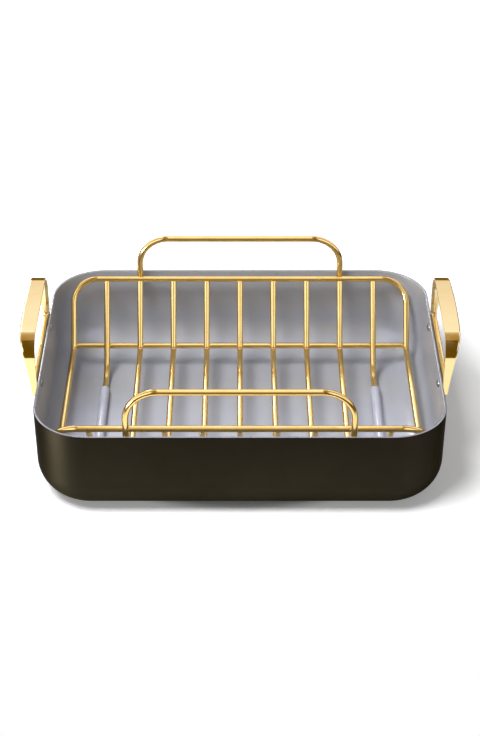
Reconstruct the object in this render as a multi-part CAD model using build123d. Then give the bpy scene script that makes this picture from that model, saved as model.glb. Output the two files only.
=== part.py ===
from build123d import *
import math
import os

# Roasting pan with a lift-out wire rack, in millimetres.
# The origin is the middle of the flat base. X runs along the pan, Y across it, Z up.

# Pan body
pan_length = 427.0
pan_width = 331.0
pan_height = 101.0
pan_corner_radius = 58.0
pan_bottom_radius = 38.0
wall_thickness = 2.6
floor_thickness = 3.2
rim_edge_radius = 0.9
wall_taper_degrees = 0.4

# Pan handles, one cast loop at each end
handle_length = 145.0
handle_rise = 54.0
handle_drop = 17.0
handle_bar_below_rim = 0.6
handle_leg_thickness = 5.0
handle_grip_thickness = 5.0
handle_shoulder_radius = 21.5
handle_foot_radius = 6.0
handle_inner_foot_radius = 3.2
handle_grip_width = 18.2
handle_grip_end_width = 15.4
handle_foot_width = 5.2
handle_edge_radius = 1.6
handle_finger_chamfer = 2.8

# How the handle flares as it rises: 1 is a straight taper, more stays slim longer
handle_flare_power = 1.4
handle_section_count = 5

# Rivets that hold the pan handles
rivet_from_handle_end = 17.5
rivet_below_rim = 9.0
rivet_shank_diameter = 5.0
rivet_head_diameter = 10.0
rivet_head_height = 2.6
rivet_fit_clearance = 0.05

# Rack wires. The rack's reach follows the pan: its outer wires keep these distances from the rim
wire_diameter = 6.8
rail_from_rim = 18.0
side_wire_from_rim = 21.0
rail_below_rim = 2.0
rail_corner_radius = 27.5
cradle_slope_run = 46.3
cradle_depth = 67.3
cradle_bend_radius = 8.0
leg_bend_radius = 30.0
long_wire_above_bend = 0.6
weld_gap = 0.05

# Cross wires on each side of the middle one. The leg wire and the frame's side wire come next
cross_wires_each_side = 3

# Where the cross wires end, counted from the middle of the rail that they are welded to
weld_reach = 1.6

# Upright handles of the rack
rack_handle_rise = 49.5
rack_handle_foot = 5.0
rack_handle_corner_radius = 33.0
wire_end_radius = 1.4

# Soft sleeves on the legs
sleeve_diameter = 10.4
sleeve_from_bend = 16.1
sleeve_end_radius = 0.8
sleeve_fit_clearance = 0.05
sleeve_above_floor = 0.3

# How far a cutting shape runs past what it cuts
overrun = 2.0

# Places worked out from the sizes above
taper_slope = math.tan(math.radians(wall_taper_degrees))
wall_plane_x = pan_length / 2
wire_radius = wire_diameter / 2
rail_y = pan_width / 2 - rail_from_rim
rail_z = pan_height - rail_below_rim
bend_y = rail_y - cradle_slope_run
cradle_z = rail_z - cradle_depth
panel_angle = math.atan2(cradle_slope_run, cradle_depth)
sleeve_z = floor_thickness + sleeve_above_floor + sleeve_diameter / 2
leg_y = rail_y - (rail_z - sleeve_z) * math.tan(panel_angle)
leg_straight_y = leg_y - leg_bend_radius * math.tan((math.pi / 2 - panel_angle) / 2)
side_x = pan_length / 2 - side_wire_from_rim
wire_pitch = side_x / (cross_wires_each_side + 2)
leg_x = side_x - wire_pitch
rivet_y = handle_length / 2 - rivet_from_handle_end
rivet_z = pan_height - rivet_below_rim


# Pan body

def tapered_block(base_z, wall_inset, edge_radius, top_z):
    # A rounded block whose outline shrinks evenly from the rim down
    inset = wall_inset + (pan_height - base_z) * taper_slope
    outline = RectangleRounded(pan_length - 2 * inset, pan_width - 2 * inset, pan_corner_radius - inset)
    block = extrude(Pos(0, 0, base_z) * outline, amount=top_z - base_z, taper=-wall_taper_degrees)
    base_edges = block.faces().sort_by(Axis.Z)[0].edges()
    return fillet(base_edges, edge_radius)


def rivet_axis(side, y):
    # A plane on the rivet's line, at the middle of the pan, that looks out through the wall
    return Plane(origin=(0, y, rivet_z), x_dir=(0, 1, 0), z_dir=(side, 0, 0))


def rivet_hole(side, y):
    radius = rivet_shank_diameter / 2 + rivet_fit_clearance
    start = wall_plane_x - 2 * wall_thickness
    length = 2 * wall_thickness + handle_grip_width + overrun
    return rivet_axis(side, y) * Pos(0, 0, start) * extrude(Circle(radius), amount=length)


def rivet_places():
    return [(side, end * rivet_y) for side in (-1, 1) for end in (-1, 1)]


pan_block = tapered_block(0, 0, pan_bottom_radius, pan_height)


def make_pan_body():
    cavity_radius = pan_bottom_radius - wall_thickness
    cavity = tapered_block(floor_thickness, wall_thickness, cavity_radius, pan_height + overrun)
    body = pan_block - cavity
    rim_edges = body.faces().sort_by(Axis.Z)[-1].edges()
    body = fillet(rim_edges, rim_edge_radius)
    for side, y in rivet_places():
        body -= rivet_hole(side, y)
    return body


# Pan handles

handle_bottom_z = pan_height - handle_drop
handle_top_z = pan_height + handle_rise
handle_seat_x = wall_plane_x - handle_drop * taper_slope
envelope_bottom_z = handle_bottom_z - overrun
envelope_top_z = handle_top_z + overrun


def handle_section(z):
    # The plan of the handle at one height, straight on the wall side and bowed outside
    flare_share = ((z - envelope_bottom_z) / (handle_top_z - envelope_bottom_z)) ** handle_flare_power
    middle = handle_foot_width + (handle_grip_width - handle_foot_width) * flare_share
    end = handle_foot_width + (handle_grip_end_width - handle_foot_width) * flare_share
    half_length = handle_length / 2 + overrun
    bow_share = (half_length / (handle_length / 2)) ** 2
    end_x = wall_plane_x + middle - (middle - end) * bow_share
    pull_x = 2 * (wall_plane_x + middle) - end_x
    bow = Bezier((end_x, -half_length), (pull_x, 0), (end_x, half_length))
    back = Polyline((end_x, half_length), (handle_seat_x, half_length),
                    (handle_seat_x, -half_length), (end_x, -half_length))
    return Pos(0, 0, z) * make_face([bow, back])


def handle_envelope():
    step = (envelope_top_z - envelope_bottom_z) / (handle_section_count - 1)
    sections = [handle_section(envelope_bottom_z + i * step) for i in range(handle_section_count)]
    return loft(sections)


def handle_loop_outline():
    # The loop seen from the end of the pan, drawn with Y to the right and Z up
    height = handle_rise + handle_drop
    outer = Pos(0, handle_bottom_z + height / 2) * Rectangle(handle_length, height)
    outer = fillet(outer.vertices().group_by(Axis.Y)[-1], handle_shoulder_radius)
    outer = fillet(outer.vertices().group_by(Axis.Y)[0], handle_foot_radius)
    gap_bottom = pan_height - handle_bar_below_rim
    gap_top = handle_top_z - handle_grip_thickness
    gap = Rectangle(handle_length - 2 * handle_leg_thickness, gap_top - gap_bottom)
    gap = Pos(0, (gap_top + gap_bottom) / 2) * gap
    gap = fillet(gap.vertices().group_by(Axis.Y)[-1], handle_shoulder_radius - handle_grip_thickness)
    gap = fillet(gap.vertices().group_by(Axis.Y)[0], handle_inner_foot_radius)
    return outer - gap


def make_right_handle():
    depth = handle_grip_width + 2 * overrun
    loop = extrude(Plane.YZ.offset(handle_seat_x - overrun) * handle_loop_outline(), amount=depth + overrun)
    handle = handle_envelope() & loop
    outer_edges = [e for e in handle.edges() if e.center().X > handle_seat_x + handle_edge_radius]
    handle = fillet(outer_edges, handle_edge_radius)
    # The opening is eased on the pan's side, where the fingertips go in
    pan_side = handle.faces().sort_by(Axis.X)[0]
    handle = chamfer(pan_side.inner_wires()[0].edges(), handle_finger_chamfer)
    handle -= pan_block
    for side, y in rivet_places():
        if side > 0:
            handle -= rivet_hole(side, y)
    return handle


# Rivets

def make_rivet(side, y):
    # A domed head inside the pan and a shank ground flush with the handle's bar
    head_radius = rivet_head_diameter / 2
    inner_wall = wall_plane_x - wall_thickness - (rivet_below_rim + head_radius) * taper_slope
    dome_radius = (head_radius ** 2 + rivet_head_height ** 2) / (2 * rivet_head_height)
    axis = rivet_axis(1, y)
    dome = Pos(0, 0, inner_wall - rivet_head_height + dome_radius) * Sphere(dome_radius)
    slab = extrude(Pos(0, 0, inner_wall - rivet_head_height - overrun) * Circle(rivet_head_diameter),
                   amount=rivet_head_height + overrun)
    head = axis * (dome & slab)
    shank_length = wall_thickness + handle_grip_width
    shank = axis * (Pos(0, 0, inner_wall) * extrude(Circle(rivet_shank_diameter / 2), amount=shank_length))
    shank = shank & (handle_envelope() + pan_block)
    rivet = head + shank
    return rivet if side > 0 else mirror(rivet, about=Plane.YZ)


# Rack

def bent_wire(points, radii):
    path = FilletPolyline(*points, radius=radii)
    section = Plane(origin=path @ 0, z_dir=path % 0) * Circle(wire_radius)
    return sweep(section, path=path)


def straight_rod(start, end, radius):
    span = Vector(*end) - Vector(*start)
    return extrude(Plane(origin=start, z_dir=span) * Circle(radius), amount=span.length)


def rail_seats(x):
    # What a cross wire's two ends are hollowed by, so that they sit against the rails
    reach = 2 * wire_diameter
    radius = wire_radius + weld_gap
    return [straight_rod((x - reach, y, rail_z), (x + reach, y, rail_z), radius) for y in (-rail_y, rail_y)]


def cradle_wire(x, floor_y, floor_z, bend_radius):
    # A trough-shaped wire whose rounded ends butt against the undersides of both rails
    end_y = rail_y - weld_reach * math.sin(panel_angle)
    end_z = rail_z - weld_reach * math.cos(panel_angle)
    points = [(x, end_y, end_z), (x, floor_y, floor_z), (x, -floor_y, floor_z), (x, -end_y, end_z)]
    wire = bent_wire(points, [bend_radius, bend_radius])
    tips = wire.faces().sort_by(Axis.Y)
    tip_edges = [*tips[0].edges(), *tips[-1].edges()]
    wire = fillet(tip_edges, wire_end_radius)
    for seat in rail_seats(x):
        wire -= seat
    return wire


def make_rack_frame():
    # One closed wire: two rails whose rounded ends turn down into the two sides
    points = [(0, rail_y, rail_z), (side_x, rail_y, rail_z), (side_x, bend_y, cradle_z),
              (side_x, -bend_y, cradle_z), (side_x, -rail_y, rail_z), (0, -rail_y, rail_z)]
    radii = [rail_corner_radius, cradle_bend_radius, cradle_bend_radius, rail_corner_radius]
    half = bent_wire(points, radii)
    return half + mirror(half, about=Plane.YZ)


def make_long_wire(end):
    # A straight wire welded across the outside of the sloping panel, just above its bend
    bend_turn = math.pi / 2 - panel_angle
    along = cradle_bend_radius * math.tan(bend_turn / 2) + long_wire_above_bend
    out = wire_diameter + weld_gap
    y = bend_y + along * math.sin(panel_angle) + out * math.cos(panel_angle)
    z = cradle_z + along * math.cos(panel_angle) - out * math.sin(panel_angle)
    wire = straight_rod((-side_x, end * y, z), (side_x, end * y, z), wire_radius)
    return fillet(wire.edges().filter_by(GeomType.CIRCLE), wire_end_radius)


def make_rack_handle(end):
    # An upright loop welded to the outside of a rail, in line with the outermost cross wires
    x = cross_wires_each_side * wire_pitch
    y = end * (rail_y + wire_diameter + weld_gap)
    foot = rail_z - rack_handle_foot
    top = rail_z + rack_handle_rise
    points = [(-x, y, foot), (-x, y, top), (x, y, top), (x, y, foot)]
    loop = bent_wire(points, [rack_handle_corner_radius, rack_handle_corner_radius])
    feet = loop.faces().sort_by(Axis.Z)[0:2]
    foot_edges = [e for face in feet for e in face.edges()]
    return fillet(foot_edges, wire_end_radius)


def make_sleeve(side):
    half = leg_straight_y - sleeve_from_bend
    start = (side * leg_x, -half, sleeve_z)
    end = (side * leg_x, half, sleeve_z)
    tube = straight_rod(start, end, sleeve_diameter / 2)
    tube = fillet(tube.edges().filter_by(GeomType.CIRCLE), sleeve_end_radius)
    return tube - straight_rod(start, end, wire_radius + sleeve_fit_clearance)


# Every piece by its name

def make_parts():
    right_handle = make_right_handle()
    parts = {
        "pan_body": make_pan_body(),
        "pan_handle_right": right_handle,
        "pan_handle_left": mirror(right_handle, about=Plane.YZ),
        "rack_frame": make_rack_frame(),
    }
    for side, y in rivet_places():
        name = "rivet_" + ("right" if side > 0 else "left") + ("_rear" if y > 0 else "_front")
        parts[name] = make_rivet(side, y)
    for step in range(-cross_wires_each_side, cross_wires_each_side + 1):
        number = step + cross_wires_each_side + 1
        parts[f"cross_wire_{number}"] = cradle_wire(step * wire_pitch, bend_y, cradle_z, cradle_bend_radius)
    for side, word in ((-1, "left"), (1, "right")):
        parts[f"leg_wire_{word}"] = cradle_wire(side * leg_x, leg_y, sleeve_z, leg_bend_radius)
        parts[f"leg_sleeve_{word}"] = make_sleeve(side)
    for end, word in ((-1, "front"), (1, "rear")):
        parts[f"long_wire_{word}"] = make_long_wire(end)
        parts[f"rack_handle_{word}"] = make_rack_handle(end)
    return parts


os.makedirs("parts", exist_ok=True)
for name, shape in make_parts().items():
    export_step(shape, f"parts/{name}.step")
    print(name, round(shape.volume, 1))
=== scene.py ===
import bpy
import bmesh
import math
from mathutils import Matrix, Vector


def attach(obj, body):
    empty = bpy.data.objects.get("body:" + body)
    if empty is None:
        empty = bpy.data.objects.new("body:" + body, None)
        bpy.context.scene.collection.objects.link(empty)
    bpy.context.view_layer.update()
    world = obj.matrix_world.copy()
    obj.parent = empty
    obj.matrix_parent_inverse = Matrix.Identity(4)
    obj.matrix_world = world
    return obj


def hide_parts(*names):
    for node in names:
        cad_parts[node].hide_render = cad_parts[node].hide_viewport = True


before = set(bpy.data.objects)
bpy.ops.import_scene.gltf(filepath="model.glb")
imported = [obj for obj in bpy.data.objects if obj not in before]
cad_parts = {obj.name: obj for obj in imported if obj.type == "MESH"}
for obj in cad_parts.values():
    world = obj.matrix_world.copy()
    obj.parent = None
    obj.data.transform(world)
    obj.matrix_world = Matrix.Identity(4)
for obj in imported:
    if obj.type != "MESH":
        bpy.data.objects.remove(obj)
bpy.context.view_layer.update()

mm = 0.001


def linearOf(hexCode):
    # sRGB hex to the linear values that the shader sockets take
    parts = [int(hexCode[i:i + 2], 16) / 255 for i in (1, 3, 5)]
    return [c / 12.92 if c <= 0.04045 else ((c + 0.055) / 1.055) ** 2.4 for c in parts] + [1.0]


def addNode(tree, kind, settings=None, links=None):
    # one node with its settings, its plain socket values and what feeds it
    node = tree.nodes.new(kind)
    for name, value in (settings or {}).items():
        if isinstance(name, int) or name in node.inputs:
            node.inputs[name].default_value = value
        else:
            setattr(node, name, value)
    for name, source in (links or {}).items():
        tree.links.new(source, node.inputs[name])
    return node


def spread(fromMin, fromMax, toMin=0.0, toMax=1.0):
    # settings of a map range
    return {"From Min": fromMin, "From Max": fromMax, "To Min": toMin, "To Max": toMax}


def eased(limits, low=0.0, high=1.0):
    # settings of a map range that eases from one value to another between two limits
    return {"interpolation_type": "SMOOTHSTEP", **spread(*limits, low, high)}


# where a Mix node keeps its two colours and their result
mixFirst, mixSecond, mixResult = 6, 7, 2
pureWhite = (1, 1, 1, 1)


def deselectAll():
    if bpy.context.object and bpy.context.object.mode != "OBJECT":
        bpy.ops.object.mode_set(mode="OBJECT")
    bpy.ops.object.select_all(action="DESELECT")


def activate(piece):
    deselectAll()
    piece.select_set(True)
    bpy.context.view_layer.objects.active = piece


# camera at the photograph's angle
cameraSettings = {"location": (0.0, -1.5293, 1.1032), "tiltDegrees": 56.061, "lens": 82.36,
                  "sensorWidth": 36, "clipEnd": 50}


def makeCamera():
    bpy.ops.object.camera_add(location=cameraSettings["location"],
                              rotation=(math.radians(cameraSettings["tiltDegrees"]), 0, 0))
    camera = bpy.context.object
    camera.name = "photoCamera"
    camera.data.lens = cameraSettings["lens"]
    camera.data.sensor_width = cameraSettings["sensorWidth"]
    camera.data.dof.use_dof = False
    camera.data.clip_end = cameraSettings["clipEnd"]
    bpy.context.scene.camera = camera
    bpy.context.scene.view_settings.view_transform = "Standard"
    print("camera placed")


makeCamera()

# white table. Distances from the pan are counted in panReach, so that 1 is about the pan's outline.
# Each lift has its limits in that measure, then how much glow is added at each to reach pure white.
# The small near lift leaves painted shade on the board close round the pan
tableLook = {
    "paintHex": "#f8f8f8", "front": -0.375, "reach": 3.0, "panReach": (0.2135, 0.1655, 1.0),
    "lifts": [((0.87, 0.99), 0.05, 0.24), ((1.6, 3.2), 0.0, 0.8)], "mirroredLift": 0.7,
    "fades": (1.7, 3.4), "fadedLevel": 0.35,
}

# the room that the metal mirrors is dim and warm. It has a pale ceiling from the back to over the
# front. On each side of its middle comes a strip that is dark above the front, then a tall softbox.
# Each list says how bright it is all round, in degrees: 0 is level at the back, 90 straight up and
# 180 level at the front. Light on matt faces is even
room = {
    "evenStrength": 0.22, "strength": 1.75, "dimHex": "#8e6f14", "lightHex": "#e8ecff",
    "middle": [(-180, 0.2), (-90, 0.2), (-10, 0.35), (8, 0.5), (20, 0.8), (32, 1.0), (110, 1.0),
               (125, 0.85), (139, 0.66), (160, 0.5), (180, 0.45)],
    "strip": [(-180, 0.05), (-90, 0.1), (-10, 0.05), (8, 0.1), (20, 0.3), (29, 0.94), (31.2, 0.96),
              (32.6, 0.984), (36, 1.0), (46, 0.955), (56, 0.905), (68, 0.86), (88, 0.81),
              (100, 0.8), (104, 0.03), (168, 0.0), (180, 0.05)],
    "side": [(-180, 0.2), (-90, 0.2), (-10, 0.25), (8, 0.3), (18, 0.45), (27, 0.95), (32, 1.0),
             (60, 1.0), (84, 0.6), (108, 0.6), (122, 1.0), (166, 1.0), (180, 0.3)],
    "stripFrom": (0.09, 0.112), "stripTo": (0.17, 0.27), "paleCurve": 2.6, "stripCurve": 14.0,
    "dimShare": 0.26, "leftShare": 1.15, "rightShare": 0.85,
}

# the key lights matt faces and is not mirrored. The two strips are mirrored and light nothing matt
lamps = {
    "keySoftbox": {"energy": 40, "size": (0.9, 0.9), "place": (-0.64, -0.55, 1.7),
                   "mirrored": False, "lights": True},
    "backStrip": {"energy": 6, "size": (0.35, 0.35), "place": (-0.83, 2.16, 1.28),
                  "mirrored": True, "lights": False},
    "cornerStrip": {"energy": 47, "size": (1.1, 0.36), "place": (-1.85, -0.95, 0.19),
                    "mirrored": True, "lights": False},
}
lampTarget = (0, 0, 0.03)


def shownRays(tree):
    # the light path, and whether the camera, a mirror or a glass looks and not just a lit surface
    rays = addNode(tree, "ShaderNodeLightPath")
    direct = addNode(tree, "ShaderNodeMath", {"operation": "MAXIMUM"},
                     {0: rays.outputs["Is Camera Ray"], 1: rays.outputs["Is Glossy Ray"]})
    shown = addNode(tree, "ShaderNodeMath", {"operation": "MAXIMUM"},
                    {0: direct.outputs[0], 1: rays.outputs["Is Transmission Ray"]})
    return rays, shown.outputs[0]


def makeTablePaint():
    # painted board, rolled flat white: no sheen, and it keeps the soft shadow
    paint = bpy.data.materials.new("tableBoardFlatPaint")
    paint.use_nodes = True
    tree = paint.node_tree
    tree.nodes.clear()
    diffuse = addNode(tree, "ShaderNodeBsdfDiffuse", {"Color": linearOf(tableLook["paintHex"])})
    # the board glows to pure white away from the pan, and only a little close round it: painted shade
    # where the pan's shadow falls, added to the real shadow
    coords = addNode(tree, "ShaderNodeTexCoord")
    around = addNode(tree, "ShaderNodeVectorMath",
                     {"operation": "DIVIDE", 1: tableLook["panReach"]}, {0: coords.outputs["Object"]})
    length = addNode(tree, "ShaderNodeVectorMath", {"operation": "LENGTH"}, {0: around.outputs[0]})
    away = length.outputs["Value"]
    near, far = [addNode(tree, "ShaderNodeMapRange", eased(*lift), {"Value": away})
                 for lift in tableLook["lifts"]]
    whiter = addNode(tree, "ShaderNodeMath", {"operation": "ADD"},
                     {0: near.outputs[0], 1: far.outputs[0]})
    # a mirror sees a little less of that lift, so that gold facing the board stays gold
    rays, shown = shownRays(tree)
    mirrored = rays.outputs["Is Glossy Ray"]
    mirrorShare = addNode(tree, "ShaderNodeMapRange",
                          spread(0.0, 1.0, 1.0, tableLook["mirroredLift"]), {"Value": mirrored})
    share = addNode(tree, "ShaderNodeMath", {"operation": "MULTIPLY"},
                    {0: shown, 1: mirrorShare.outputs[0]})
    lift = addNode(tree, "ShaderNodeMath", {"operation": "MULTIPLY"},
                   {0: share.outputs[0], 1: whiter.outputs[0]})
    glow = addNode(tree, "ShaderNodeEmission", {"Color": pureWhite}, {"Strength": lift.outputs[0]})
    board = addNode(tree, "ShaderNodeAddShader", links={0: diffuse.outputs[0], 1: glow.outputs[0]})
    # in a mirror the board fades into the dim room, which gives bright metal its dark outlines
    faded = addNode(tree, "ShaderNodeEmission", {"Color": linearOf(room["dimHex"]),
                                                 "Strength": tableLook["fadedLevel"]})
    distance = addNode(tree, "ShaderNodeMapRange", eased(tableLook["fades"]), {"Value": away})
    fade = addNode(tree, "ShaderNodeMath", {"operation": "MULTIPLY"},
                   {0: distance.outputs[0], 1: mirrored})
    seen = addNode(tree, "ShaderNodeMixShader", links={"Fac": fade.outputs[0], 1: board.outputs[0],
                                                       2: faded.outputs[0]})
    addNode(tree, "ShaderNodeOutputMaterial", links={"Surface": seen.outputs[0]})
    return paint


def makeTable():
    deselectAll()
    depth = tableLook["reach"] - tableLook["front"]
    bpy.ops.mesh.primitive_plane_add(size=1, location=(0, tableLook["front"] + depth / 2, 0))
    table = bpy.context.object
    table.name = "whiteTable"
    table.scale = (2 * tableLook["reach"], depth, 1)
    bpy.ops.object.transform_apply(location=True, rotation=True, scale=True)
    table.data.materials.append(makeTablePaint())


def makeLamp(name, look):
    deselectAll()
    bpy.ops.object.light_add(type="AREA", location=look["place"])
    lamp = bpy.context.object
    lamp.name = name
    lamp.data.energy = look["energy"]
    lamp.data.shape = "ELLIPSE"
    lamp.data.size, lamp.data.size_y = look["size"]
    lamp.visible_glossy = look["mirrored"]
    lamp.visible_diffuse = look["lights"]
    aim = Vector(lampTarget) - Vector(look["place"])
    lamp.rotation_euler = aim.to_track_quat("-Z", "Y").to_euler()


def roundRoom(tree, turn, stops):
    # how bright the room is all round, from a list of degrees and levels
    ramp = addNode(tree, "ShaderNodeValToRGB", links={"Fac": turn})
    elements = ramp.color_ramp.elements
    elements.remove(elements[-1])
    for i, (degrees, level) in enumerate(stops):
        position = (degrees + 180) / 360
        element = elements[0] if i == 0 else elements.new(position)
        element.position = position
        element.color = (level, level, level, 1)
    return ramp.outputs["Color"]


def makeMirroredRoom(tree):
    coords = addNode(tree, "ShaderNodeTexCoord")
    split = addNode(tree, "ShaderNodeSeparateXYZ", links={"Vector": coords.outputs["Generated"]})
    angle = addNode(tree, "ShaderNodeMath", {"operation": "ARCTAN2"},
                    {0: split.outputs["Z"], 1: split.outputs["Y"]})
    turn = addNode(tree, "ShaderNodeMapRange", spread(-math.pi, math.pi),
                   {"Value": angle.outputs[0]})
    middle, strip, side = [roundRoom(tree, turn.outputs[0], room[part])
                           for part in ("middle", "strip", "side")]
    across = addNode(tree, "ShaderNodeMath", {"operation": "ABSOLUTE"},
                     {0: split.outputs["X"]}).outputs[0]
    intoStrip, intoSide = [addNode(tree, "ShaderNodeMapRange", eased(room[edge]), {"Value": across})
                           for edge in ("stripFrom", "stripTo")]
    inner = addNode(tree, "ShaderNodeMix", {"data_type": "RGBA"},
                    {"Factor": intoStrip.outputs[0], mixFirst: middle, mixSecond: strip})
    outer = addNode(tree, "ShaderNodeMix", {"data_type": "RGBA"},
                    {"Factor": intoSide.outputs[0], mixFirst: inner.outputs[mixResult],
                     mixSecond: side})
    level = outer.outputs[mixResult]
    # the colour pales later than it brightens, so that half-lit gold stays deep, and latest in the
    # strips. The curve is steeper between the two edges of a strip than in the middle and the side
    extra = room["stripCurve"] - room["paleCurve"]
    more = addNode(tree, "ShaderNodeMapRange",
                   eased(room["stripFrom"], room["paleCurve"], room["stripCurve"]),
                   {"Value": across})
    less = addNode(tree, "ShaderNodeMapRange", eased(room["stripTo"], 0.0, extra),
                   {"Value": across})
    curve = addNode(tree, "ShaderNodeMath", {"operation": "SUBTRACT"},
                    {0: more.outputs[0], 1: less.outputs[0]})
    pale = addNode(tree, "ShaderNodeMath", {"operation": "POWER"}, {0: level, 1: curve.outputs[0]})
    dimColour, lightColour = [linearOf(room[shade]) for shade in ("dimHex", "lightHex")]
    colour = addNode(tree, "ShaderNodeMix",
                     {"data_type": "RGBA", mixFirst: dimColour, mixSecond: lightColour},
                     {"Factor": pale.outputs[0]})
    dim = addNode(tree, "ShaderNodeMapRange", spread(0.0, 1.0, room["dimShare"], 1.0),
                  {"Value": level})
    # the room is a little brighter on the left
    lean = addNode(tree, "ShaderNodeMapRange",
                   spread(-1.0, 1.0, room["leftShare"], room["rightShare"]),
                   {"Value": split.outputs["X"]})
    scaled = addNode(tree, "ShaderNodeMath", {"operation": "MULTIPLY"},
                     {0: lean.outputs[0], 1: dim.outputs[0]})
    strength = addNode(tree, "ShaderNodeMath", {"operation": "MULTIPLY", 1: room["strength"]},
                       {0: scaled.outputs[0]})
    return addNode(tree, "ShaderNodeBackground", links={"Color": colour.outputs[mixResult],
                                                        "Strength": strength.outputs[0]})


def makeWorld():
    world = bpy.data.worlds.new("studioWorld")
    bpy.context.scene.world = world
    world.use_nodes = True
    tree = world.node_tree
    tree.nodes.clear()
    mirrored = makeMirroredRoom(tree)
    even = addNode(tree, "ShaderNodeBackground",
                   {"Color": pureWhite, "Strength": room["evenStrength"]})
    white = addNode(tree, "ShaderNodeBackground", {"Color": pureWhite, "Strength": 1.0})
    rays, shown = shownRays(tree)
    seen = addNode(tree, "ShaderNodeMixShader", links={"Fac": rays.outputs["Is Glossy Ray"],
                                                       1: white.outputs[0], 2: mirrored.outputs[0]})
    every = addNode(tree, "ShaderNodeMixShader", links={"Fac": shown, 1: even.outputs[0],
                                                        2: seen.outputs[0]})
    addNode(tree, "ShaderNodeOutputWorld", links={"Surface": every.outputs[0]})


makeTable()
makeWorld()
for name, look in lamps.items():
    makeLamp(name, look)
print("studio built")

# finishes. In every look, patch and roughPatch are the widths in mm of the soft clouds in which
# colour and roughness drift, grain is the width in mm of the relief's finest part, and reliefDepth
# is in metres. The real grain of drawn, blasted and turned metal is too fine to show, so it is drawn
# several times as coarse
clouds = {"detail": 3.0, "colourRange": (0.35, 0.65), "roughRange": (0.3, 0.7)}


def featuresOf(millimetres, detail):
    # settings of a noise whose features are about this wide
    return {"Scale": 1 / (millimetres * mm), "Detail": detail}


def makeFinish(name, look):
    material = bpy.data.materials.new(name)
    material.use_nodes = True
    tree = material.node_tree
    place = addNode(tree, "ShaderNodeTexCoord").outputs["Object"]
    shader = tree.nodes["Principled BSDF"]
    shader.inputs["Metallic"].default_value = look["metallic"]
    sources = [(look["patch"], clouds["detail"]), (look["roughPatch"], clouds["detail"]),
               (look["grain"], look["grainDetail"])]
    patches, wear, height = [addNode(tree, "ShaderNodeTexNoise", featuresOf(*source),
                                     {"Vector": place}).outputs["Fac"] for source in sources]
    blend = addNode(tree, "ShaderNodeMapRange", spread(*clouds["colourRange"]), {"Value": patches})
    first, second = [linearOf(hexCode) for hexCode in look["hexes"]]
    colour = addNode(tree, "ShaderNodeMix",
                     {"data_type": "RGBA", mixFirst: first, mixSecond: second},
                     {"Factor": blend.outputs[0]})
    rough = addNode(tree, "ShaderNodeMapRange", spread(*clouds["roughRange"], *look["rough"]),
                    {"Value": wear})
    if "wave" in look:
        wave = addNode(tree, "ShaderNodeTexNoise", featuresOf(look["wave"], look["waveDetail"]),
                       {"Vector": place})
        height = addNode(tree, "ShaderNodeMath",
                         {"operation": "MULTIPLY_ADD", 1: look["grainShare"]},
                         {0: height, 2: wave.outputs["Fac"]}).outputs[0]
    bump = addNode(tree, "ShaderNodeBump",
                   {"Strength": look["reliefStrength"], "Distance": look["reliefDepth"]},
                   {"Height": height})
    tree.links.new(colour.outputs[mixResult], shader.inputs["Base Color"])
    tree.links.new(rough.outputs[0], shader.inputs["Roughness"])
    tree.links.new(bump.outputs[0], shader.inputs["Normal"])
    return material


# Gold-coloured plated steel. Plating over drawn wire keeps faint die lines, so highlights break up
# a little
goldWireLook = {"metallic": 1.0, "hexes": ("#f4d489", "#eecb7b"), "patch": 30,
                "rough": (0.12, 0.17), "roughPatch": 6, "grain": 0.9, "grainDetail": 2.0,
                "reliefStrength": 0.05, "reliefDepth": 0.03 * mm}
goldWire = makeFinish("steelWireDrawnGoldPlated", goldWireLook)

# Cast handles, linished then plated: broad soft reflections, with the slight waviness that hand
# polishing leaves. wave is the width of that waviness in mm, and grainShare is how much the grain
# counts beside it. The satin limits are in metres: how far out and along the handle it reaches, and
# where it starts and ends in height
goldCastLook = {"metallic": 1.0, "hexes": ("#f7dfa6", "#f3d99a"), "patch": 45,
                "rough": (0.05, 0.09), "roughPatch": 14, "grain": 0.5, "grainDetail": 2.0,
                "grainShare": 0.05, "wave": 11, "waveDetail": 1.0, "reliefStrength": 0.03,
                "reliefDepth": 0.3 * mm, "satinRough": 0.6, "satinWithin": (0.2157, 0.2163),
                "satinAlong": (0.0682, 0.0692), "satinAbove": (0.0965, 0.0972),
                "satinBelow": (0.1004, 0.1008)}


def makeGoldCast():
    look = goldCastLook
    material = makeFinish("castSteelPolishedGoldPlated", look)
    tree = material.node_tree
    roughness = tree.nodes["Principled BSDF"].inputs["Roughness"]
    polished = roughness.links[0].from_socket
    # the polishing wheel misses the edge beside the rim, so it stays satin and scatters what it
    # mirrors
    coords = addNode(tree, "ShaderNodeTexCoord")
    split = addNode(tree, "ShaderNodeSeparateXYZ", links={"Vector": coords.outputs["Object"]})
    across, along = [addNode(tree, "ShaderNodeMath", {"operation": "ABSOLUTE"},
                             {0: split.outputs[axis]}) for axis in "XY"]
    limits = [(eased(look["satinWithin"], 1.0, 0.0), across.outputs[0]),
              (eased(look["satinAlong"], 1.0, 0.0), along.outputs[0]),
              (eased(look["satinAbove"]), split.outputs["Z"]),
              (eased(look["satinBelow"], 1.0, 0.0), split.outputs["Z"])]
    within, beside, above, below = [addNode(tree, "ShaderNodeMapRange", settings,
                                            {"Value": value}).outputs[0]
                                    for settings, value in limits]
    flat = addNode(tree, "ShaderNodeMath", {"operation": "MULTIPLY"}, {0: within, 1: beside})
    upright = addNode(tree, "ShaderNodeMath", {"operation": "MULTIPLY"}, {0: above, 1: below})
    satin = addNode(tree, "ShaderNodeMath", {"operation": "MULTIPLY"},
                    {0: upright.outputs[0], 1: flat.outputs[0]})
    rough = addNode(tree, "ShaderNodeMix", {"data_type": "FLOAT", "B": look["satinRough"]},
                    {"Factor": satin.outputs[0], "A": polished})
    tree.links.new(rough.outputs["Result"], roughness)
    return material


goldCast = makeGoldCast()

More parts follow.
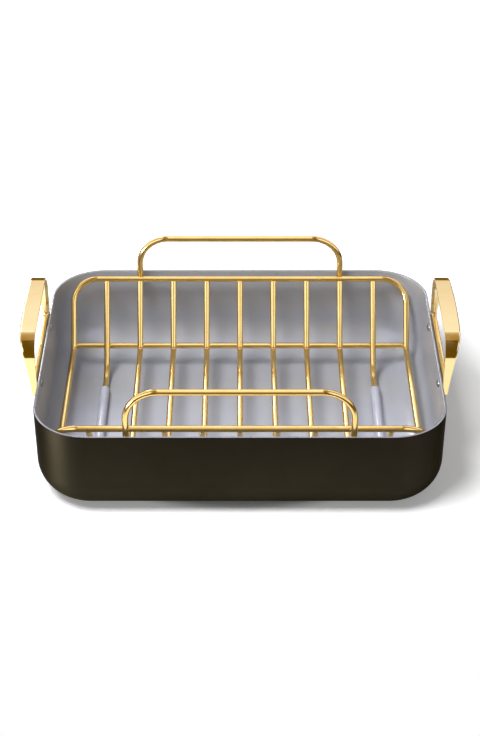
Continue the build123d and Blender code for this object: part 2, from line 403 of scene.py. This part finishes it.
# Hard anodised aluminium, bead blasted first: near-black bronze, a fine even grain and a wide dull
# sheen that stands upright on the corners, with its edges kept dark
anodisedLook = {"metallic": 1.0, "hexes": ("#2f2b21", "#322e24"), "patch": 90,
                "rough": (0.44, 0.52), "roughPatch": 20, "grain": 0.7, "grainDetail": 3.0,
                "reliefStrength": 0.18, "reliefDepth": 0.06 * mm, "anisotropy": 0.7,
                "turned": 0.25, "edgeTint": (0.4, 0.4, 0.4, 1)}


def makeAnodised():
    look = anodisedLook
    material = makeFinish("aluminiumBlastedHardAnodised", look)
    tree = material.node_tree
    shader = tree.nodes["Principled BSDF"]
    around = addNode(tree, "ShaderNodeTangent", {"direction_type": "RADIAL", "axis": "Z"})
    shader.inputs["Anisotropic"].default_value = look["anisotropy"]
    shader.inputs["Anisotropic Rotation"].default_value = look["turned"]
    shader.inputs["Specular Tint"].default_value = look["edgeTint"]
    tree.links.new(around.outputs[0], shader.inputs["Tangent"])
    return material


panCoat = makeAnodised()

# Sprayed ceramic non-stick coat with fine mica: cool grey, a silky sheen and the faint orange peel
# of a spray
ceramicLook = {"metallic": 0.3, "hexes": ("#b0b3bc", "#b6b9c1"), "patch": 55, "rough": (0.28, 0.36),
               "roughPatch": 25, "grain": 2.6, "grainDetail": 1.5, "reliefStrength": 0.10,
               "reliefDepth": 0.1 * mm}
panInside = makeFinish("ceramicNonStickSprayed", ceramicLook)

# Bare aluminium of the trimmed rim, turned bright: a thin pale line, broken a little by fine tool
# marks
rimLook = {"metallic": 1.0, "hexes": ("#a0a2a6", "#acaeb1"), "patch": 12, "rough": (0.24, 0.36),
           "roughPatch": 5, "grain": 0.35, "grainDetail": 1.0, "reliefStrength": 0.15,
           "reliefDepth": 0.04 * mm}
rimMetal = makeFinish("aluminiumTurnedBare", rimLook)

# Stainless rivets, tumbled and then set with a press: silver grey with small dents and scuffs
rivetLook = {"metallic": 1.0, "hexes": ("#a2a3a6", "#8e9094"), "patch": 4, "rough": (0.22, 0.38),
             "roughPatch": 2, "grain": 1.4, "grainDetail": 2.0, "reliefStrength": 0.2,
             "reliefDepth": 0.08 * mm}
rivetSteel = makeFinish("stainlessTumbled", rivetLook)

# Moulded silicone: pale cool grey, with a smooth skin that shows a soft line of light and a fine
# mould texture
siliconeLook = {"metallic": 0.0, "hexes": ("#b3b6c6", "#bcbfce"), "patch": 18,
                "rough": (0.10, 0.16), "roughPatch": 6, "grain": 0.6, "grainDetail": 2.0,
                "reliefStrength": 0.15, "reliefDepth": 0.06 * mm}
silicone = makeFinish("siliconeMoulded", siliconeLook)

# which CAD nodes get which finish, by how their names start; the rest is the rack's wire
finishStarts = {"pan_handle": goldCast, "rivet": rivetSteel, "leg_sleeve": silicone,
                "pan_body": panCoat}

for name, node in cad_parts.items():
    chosen = next((finish for start, finish in finishStarts.items() if name.startswith(start)),
                  goldWire)
    node.data.materials.clear()
    node.data.materials.append(chosen)
print("finishes made")

# pan body. near is how close a point lies to the base or to the top to count as part of it
pan = {
    "length": 427 * mm, "width": 331 * mm, "height": 101 * mm, "taperDegrees": 0.4,
    "cornerRadius": 58 * mm, "cornerSegments": 24, "bottomRadius": 38 * mm, "baseSegments": 14,
    "wall": 2.6 * mm, "rimRadius": 0.9 * mm, "rimSegments": 4, "sharpDegrees": 50,
    "smoothDegrees": 40, "near": 1 * mm,
}


def selectParts(shell, kind, test):
    # selects the verts, edges or faces that pass a test
    bpy.ops.mesh.select_mode(type=kind)
    mesh = bmesh.from_edit_mesh(shell.data)
    for part in {"VERT": mesh.verts, "EDGE": mesh.edges, "FACE": mesh.faces}[kind]:
        part.select = test(part)
    mesh.select_flush_mode()
    bmesh.update_edit_mesh(shell.data)


def heights(part):
    return [vert.co.z for vert in part.verts]


def makePan():
    deselectAll()
    bpy.ops.mesh.primitive_cube_add(size=1, location=(0, 0, pan["height"] / 2))
    shell = bpy.context.object
    shell.name = "panShell"
    shell.scale = (pan["length"], pan["width"], pan["height"])
    bpy.ops.object.transform_apply(location=True, rotation=True, scale=True)
    bpy.ops.object.mode_set(mode="EDIT")
    # the base is a little smaller than the rim
    selectParts(shell, "VERT", lambda vert: vert.co.z < pan["near"])
    inset = pan["height"] * math.tan(math.radians(pan["taperDegrees"]))
    bpy.ops.transform.resize(value=(1 - 2 * inset / pan["length"], 1 - 2 * inset / pan["width"], 1))
    # the four corners are rounded first, then the base edge all round
    selectParts(shell, "EDGE",
                lambda edge: max(heights(edge)) - min(heights(edge)) > pan["height"] / 2)
    bpy.ops.mesh.bevel(offset=pan["cornerRadius"], segments=pan["cornerSegments"], profile=0.5)
    selectParts(shell, "EDGE", lambda edge: max(heights(edge)) < pan["near"])
    bpy.ops.mesh.bevel(offset=pan["bottomRadius"], segments=pan["baseSegments"], profile=0.5)
    # the top is opened, and the walls get their thickness inwards and a finish each for outside,
    # inside and rim
    selectParts(shell, "FACE", lambda face: min(heights(face)) > pan["height"] - pan["near"])
    bpy.ops.mesh.delete(type="FACE")
    bpy.ops.object.mode_set(mode="OBJECT")
    thicken = shell.modifiers.new("wall", "SOLIDIFY")
    thicken.thickness = pan["wall"]
    thicken.offset = -1
    thicken.use_even_offset = True
    thicken.material_offset = 1
    thicken.material_offset_rim = 2
    for finish in (panCoat, panInside, rimMetal):
        shell.data.materials.append(finish)
    activate(shell)
    bpy.ops.object.modifier_apply(modifier="wall")
    rounding = shell.modifiers.new("rim", "BEVEL")
    rounding.width = pan["rimRadius"]
    rounding.segments = pan["rimSegments"]
    rounding.limit_method = "ANGLE"
    rounding.angle_limit = math.radians(pan["sharpDegrees"])
    bpy.ops.object.modifier_apply(modifier="rim")
    bpy.ops.object.shade_smooth_by_angle(angle=math.radians(pan["smoothDegrees"]))
    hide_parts("pan_body")
    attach(shell, "pan")
    print("pan shell", len(shell.data.polygons), "faces")


makePan()
